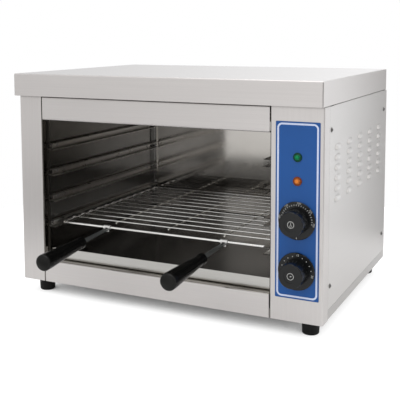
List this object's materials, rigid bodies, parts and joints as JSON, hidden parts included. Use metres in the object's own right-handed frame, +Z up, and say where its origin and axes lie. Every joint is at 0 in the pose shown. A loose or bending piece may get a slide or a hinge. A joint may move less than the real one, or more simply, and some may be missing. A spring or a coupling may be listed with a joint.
{
  "type": "cheese melter",
  "caption": "Open-fronted stainless counter grill with a sliding wire rack, clipped handles, a crumb tray and a side panel of dials and lamps.",
  "frame": {"origin": "centre of the whole outline, handles and cable gland included, at the counter", "axes": "+Z up, -Y out of the open front, +X to the right seen from the front"},
  "size_m": [0.606, 0.6156, 0.425],
  "materials": {
    "casing_steel": "satin brushed stainless sheet",
    "chamber_steel": "mill finish stainless sheet, darkened by heat",
    "tray_steel": "bright stainless sheet",
    "plated_wire": "bright plated wire and strip",
    "fixing_steel": "plain zinc plated steel",
    "element_sheath": "dull oxidised nickel alloy sheath",
    "brass": "turned brass",
    "copper": "drawn copper",
    "ceramic": "off-white glazed ceramic",
    "dial_plastic": "fine satin black moulding",
    "grip_plastic": "smooth black moulding",
    "foot_rubber": "black rubber",
    "label_film": "blue printed polyester film",
    "lamp_black": "black moulding",
    "green_lens": "translucent green moulding",
    "amber_lens": "translucent amber moulding"
  },
  "bodies": {
    "casing": {"base_pan": "casing_steel", "left_post": "casing_steel", "control_post": "casing_steel", "top_fascia": "casing_steel", "bottom_fascia": "casing_steel", "left_side_cover": "casing_steel", "right_side_cover": "casing_steel", "back_panel": "casing_steel", "top_lid": "casing_steel", "left_liner": "chamber_steel", "right_liner": "chamber_steel", "back_liner": "chamber_steel", "ceiling_liner": "chamber_steel", "chamber_floor": "chamber_steel", "runner_left_1": "chamber_steel", "runner_left_2": "chamber_steel", "runner_left_3": "chamber_steel", "runner_left_4": "chamber_steel", "runner_right_1": "chamber_steel", "runner_right_2": "chamber_steel", "runner_right_3": "chamber_steel", "runner_right_4": "chamber_steel", "element_front": "element_sheath", "element_rear": "element_sheath", "element_hangers": "chamber_steel", "element_fittings": "brass", "element_terminals": "ceramic", "thermostat_body": "ceramic", "thermostat_bulb": "copper", "capillary_tube": "copper", "timer_body": "fixing_steel", "bush_nuts": "fixing_steel", "control_label": "label_film", "lamp_holders": "lamp_black", "green_lens": "green_lens", "amber_lens": "amber_lens", "terminal_block": "ceramic", "cable_gland": "lamp_black", "gland_nut": "lamp_black", "foot_front_left": "foot_rubber", "foot_front_right": "foot_rubber", "foot_rear_left": "foot_rubber", "foot_rear_right": "foot_rubber", "foot_screws": "fixing_steel", "runner_rivets": "fixing_steel", "liner_screws": "fixing_steel", "side_cover_screws": "fixing_steel", "back_panel_screws": "fixing_steel"},
    "rack": {"rack_frame": "plated_wire", "rack_cross_wires": "plated_wire", "rack_support_wires": "plated_wire", "handle_clip_left": "plated_wire", "handle_clip_right": "plated_wire", "grip_left": "grip_plastic", "grip_right": "grip_plastic"},
    "tray": {"crumb_tray": "tray_steel"},
    "thermostat_knob": {"thermostat_shaft": "fixing_steel", "thermostat_dial": "dial_plastic"},
    "timer_knob": {"timer_shaft": "fixing_steel", "timer_dial": "dial_plastic"}
  },
  "joints": [
    {"name": "rack_slide", "type": "slide", "parent": "casing", "child": "rack", "axis": [0, -1, 0], "range_m": [0, 0.3]},
    {"name": "tray_slide", "type": "slide", "parent": "casing", "child": "tray", "axis": [0, -1, 0], "range_m": [0, 0.3]},
    {"name": "thermostat_turn", "type": "hinge", "parent": "casing", "child": "thermostat_knob", "pos_m": [0.2555, -0.1542, 0.197], "axis": [0, 1, 0], "range_deg": [0, 300]},
    {"name": "timer_turn", "type": "hinge", "parent": "casing", "child": "timer_knob", "pos_m": [0.2555, -0.1542, 0.113], "axis": [0, 1, 0], "range_deg": [0, 300]}
  ]
}
